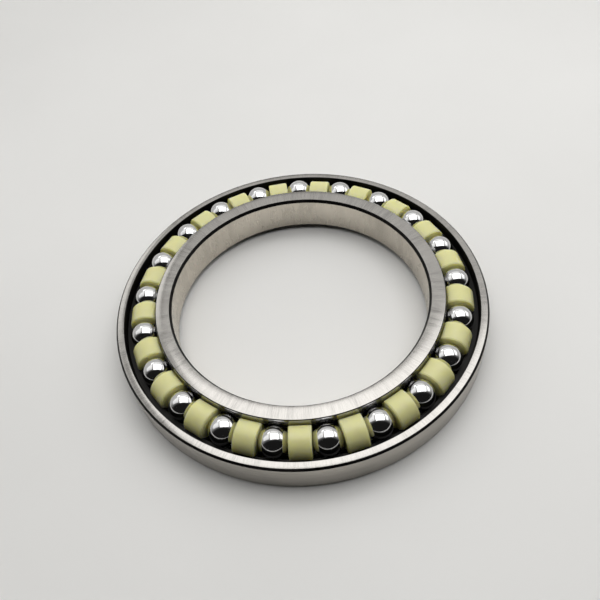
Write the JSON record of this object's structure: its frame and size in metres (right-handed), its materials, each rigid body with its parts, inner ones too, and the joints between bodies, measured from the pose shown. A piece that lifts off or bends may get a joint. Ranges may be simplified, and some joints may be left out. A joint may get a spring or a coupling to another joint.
{
  "type": "thrust ball bearing",
  "caption": "Large single-row ball bearing for thrust and radial load: a raised inner ring turns inside an outer ring on a full row of steel balls parted by loose plastic spacers.",
  "frame": {"origin": "centre of the bearing's axis in the plane of the outer ring's lower face", "axes": "+Z along the bearing's axis, towards the inner ring's raised face; +X through the centre of ball_01"},
  "size_m": [0.29, 0.29, 0.034],
  "materials": {
    "ring_steel": "fine-ground faces and seats, polished ball grooves",
    "ball_steel": "mirror-polished",
    "spacer_plastic": "natural moulded polyamide, semi-gloss"
  },
  "bodies": {
    "outer_ring": {"outer_ring": "ring_steel"},
    "inner_ring": {"inner_ring": "ring_steel"},
    "spacer_train": {"spacer_01": "spacer_plastic", "spacer_02": "spacer_plastic", "spacer_03": "spacer_plastic", "spacer_04": "spacer_plastic", "spacer_05": "spacer_plastic", "spacer_06": "spacer_plastic", "spacer_07": "spacer_plastic", "spacer_08": "spacer_plastic", "spacer_09": "spacer_plastic", "spacer_10": "spacer_plastic", "spacer_11": "spacer_plastic", "spacer_12": "spacer_plastic", "spacer_13": "spacer_plastic", "spacer_14": "spacer_plastic", "spacer_15": "spacer_plastic", "spacer_16": "spacer_plastic", "spacer_17": "spacer_plastic", "spacer_18": "spacer_plastic", "spacer_19": "spacer_plastic", "spacer_20": "spacer_plastic", "spacer_21": "spacer_plastic"},
    "ball_01": {"ball_01": "ball_steel"},
    "ball_02": {"ball_02": "ball_steel"},
    "ball_03": {"ball_03": "ball_steel"},
    "ball_04": {"ball_04": "ball_steel"},
    "ball_05": {"ball_05": "ball_steel"},
    "ball_06": {"ball_06": "ball_steel"},
    "ball_07": {"ball_07": "ball_steel"},
    "ball_08": {"ball_08": "ball_steel"},
    "ball_09": {"ball_09": "ball_steel"},
    "ball_10": {"ball_10": "ball_steel"},
    "ball_11": {"ball_11": "ball_steel"},
    "ball_12": {"ball_12": "ball_steel"},
    "ball_13": {"ball_13": "ball_steel"},
    "ball_14": {"ball_14": "ball_steel"},
    "ball_15": {"ball_15": "ball_steel"},
    "ball_16": {"ball_16": "ball_steel"},
    "ball_17": {"ball_17": "ball_steel"},
    "ball_18": {"ball_18": "ball_steel"},
    "ball_19": {"ball_19": "ball_steel"},
    "ball_20": {"ball_20": "ball_steel"},
    "ball_21": {"ball_21": "ball_steel"}
  },
  "joints": [
    {"name": "inner_ring_spin", "type": "hinge", "parent": "outer_ring", "child": "inner_ring", "pos_m": [0, 0, 0.0223], "axis": [0, 0, 1], "continuous": true},
    {"name": "spacer_train_orbit", "type": "hinge", "parent": "outer_ring", "child": "spacer_train", "pos_m": [0, 0, 0.0223], "axis": [0, 0, 1], "continuous": true},
    {"name": "ball_01_roll", "type": "hinge", "parent": "spacer_train", "child": "ball_01", "pos_m": [0.123, 0, 0.0223], "axis": [0.5, 0, 0.866], "continuous": true},
    {"name": "ball_02_roll", "type": "hinge", "parent": "spacer_train", "child": "ball_02", "pos_m": [0.11754, 0.03626, 0.0223], "axis": [0.4778, 0.1474, 0.866], "continuous": true},
    {"name": "ball_03_roll", "type": "hinge", "parent": "spacer_train", "child": "ball_03", "pos_m": [0.10163, 0.06929, 0.0223], "axis": [0.4131, 0.2817, 0.866], "continuous": true},
    {"name": "ball_04_roll", "type": "hinge", "parent": "spacer_train", "child": "ball_04", "pos_m": [0.07669, 0.09617, 0.0223], "axis": [0.3117, 0.3909, 0.866], "continuous": true},
    {"name": "ball_05_roll", "type": "hinge", "parent": "spacer_train", "child": "ball_05", "pos_m": [0.04494, 0.1145, 0.0223], "axis": [0.1827, 0.4654, 0.866], "continuous": true},
    {"name": "ball_06_roll", "type": "hinge", "parent": "spacer_train", "child": "ball_06", "pos_m": [0.00919, 0.12266, 0.0223], "axis": [0.0374, 0.4986, 0.866], "continuous": true},
    {"name": "ball_07_roll", "type": "hinge", "parent": "spacer_train", "child": "ball_07", "pos_m": [-0.02737, 0.11992, 0.0223], "axis": [-0.1113, 0.4875, 0.866], "continuous": true},
    {"name": "ball_08_roll", "type": "hinge", "parent": "spacer_train", "child": "ball_08", "pos_m": [-0.0615, 0.10652, 0.0223], "axis": [-0.25, 0.433, 0.866], "continuous": true},
    {"name": "ball_09_roll", "type": "hinge", "parent": "spacer_train", "child": "ball_09", "pos_m": [-0.09016, 0.08366, 0.0223], "axis": [-0.3665, 0.3401, 0.866], "continuous": true},
    {"name": "ball_10_roll", "type": "hinge", "parent": "spacer_train", "child": "ball_10", "pos_m": [-0.11082, 0.05337, 0.0223], "axis": [-0.4505, 0.2169, 0.866], "continuous": true},
    {"name": "ball_11_roll", "type": "hinge", "parent": "spacer_train", "child": "ball_11", "pos_m": [-0.12163, 0.01833, 0.0223], "axis": [-0.4944, 0.0745, 0.866], "continuous": true},
    {"name": "ball_12_roll", "type": "hinge", "parent": "spacer_train", "child": "ball_12", "pos_m": [-0.12163, -0.01833, 0.0223], "axis": [-0.4944, -0.0745, 0.866], "continuous": true},
    {"name": "ball_13_roll", "type": "hinge", "parent": "spacer_train", "child": "ball_13", "pos_m": [-0.11082, -0.05337, 0.0223], "axis": [-0.4505, -0.2169, 0.866], "continuous": true},
    {"name": "ball_14_roll", "type": "hinge", "parent": "spacer_train", "child": "ball_14", "pos_m": [-0.09016, -0.08366, 0.0223], "axis": [-0.3665, -0.3401, 0.866], "continuous": true},
    {"name": "ball_15_roll", "type": "hinge", "parent": "spacer_train", "child": "ball_15", "pos_m": [-0.0615, -0.10652, 0.0223], "axis": [-0.25, -0.433, 0.866], "continuous": true},
    {"name": "ball_16_roll", "type": "hinge", "parent": "spacer_train", "child": "ball_16", "pos_m": [-0.02737, -0.11992, 0.0223], "axis": [-0.1113, -0.4875, 0.866], "continuous": true},
    {"name": "ball_17_roll", "type": "hinge", "parent": "spacer_train", "child": "ball_17", "pos_m": [0.00919, -0.12266, 0.0223], "axis": [0.0374, -0.4986, 0.866], "continuous": true},
    {"name": "ball_18_roll", "type": "hinge", "parent": "spacer_train", "child": "ball_18", "pos_m": [0.04494, -0.1145, 0.0223], "axis": [0.1827, -0.4654, 0.866], "continuous": true},
    {"name": "ball_19_roll", "type": "hinge", "parent": "spacer_train", "child": "ball_19", "pos_m": [0.07669, -0.09617, 0.0223], "axis": [0.3117, -0.3909, 0.866], "continuous": true},
    {"name": "ball_20_roll", "type": "hinge", "parent": "spacer_train", "child": "ball_20", "pos_m": [0.10163, -0.06929, 0.0223], "axis": [0.4131, -0.2817, 0.866], "continuous": true},
    {"name": "ball_21_roll", "type": "hinge", "parent": "spacer_train", "child": "ball_21", "pos_m": [0.11754, -0.03626, 0.0223], "axis": [0.4778, -0.1474, 0.866], "continuous": true}
  ],
  "couplings": [
    {"joint": "spacer_train_orbit", "follows": "inner_ring_spin", "ratio": 0.46088},
    {"joint": "ball_01_roll", "follows": "inner_ring_spin", "ratio": -5.5004},
    {"joint": "ball_02_roll", "follows": "inner_ring_spin", "ratio": -5.5004},
    {"joint": "ball_03_roll", "follows": "inner_ring_spin", "ratio": -5.5004},
    {"joint": "ball_04_roll", "follows": "inner_ring_spin", "ratio": -5.5004},
    {"joint": "ball_05_roll", "follows": "inner_ring_spin", "ratio": -5.5004},
    {"joint": "ball_06_roll", "follows": "inner_ring_spin", "ratio": -5.5004},
    {"joint": "ball_07_roll", "follows": "inner_ring_spin", "ratio": -5.5004},
    {"joint": "ball_08_roll", "follows": "inner_ring_spin", "ratio": -5.5004},
    {"joint": "ball_09_roll", "follows": "inner_ring_spin", "ratio": -5.5004},
    {"joint": "ball_10_roll", "follows": "inner_ring_spin", "ratio": -5.5004},
    {"joint": "ball_11_roll", "follows": "inner_ring_spin", "ratio": -5.5004},
    {"joint": "ball_12_roll", "follows": "inner_ring_spin", "ratio": -5.5004},
    {"joint": "ball_13_roll", "follows": "inner_ring_spin", "ratio": -5.5004},
    {"joint": "ball_14_roll", "follows": "inner_ring_spin", "ratio": -5.5004},
    {"joint": "ball_15_roll", "follows": "inner_ring_spin", "ratio": -5.5004},
    {"joint": "ball_16_roll", "follows": "inner_ring_spin", "ratio": -5.5004},
    {"joint": "ball_17_roll", "follows": "inner_ring_spin", "ratio": -5.5004},
    {"joint": "ball_18_roll", "follows": "inner_ring_spin", "ratio": -5.5004},
    {"joint": "ball_19_roll", "follows": "inner_ring_spin", "ratio": -5.5004},
    {"joint": "ball_20_roll", "follows": "inner_ring_spin", "ratio": -5.5004},
    {"joint": "ball_21_roll", "follows": "inner_ring_spin", "ratio": -5.5004}
  ]
}
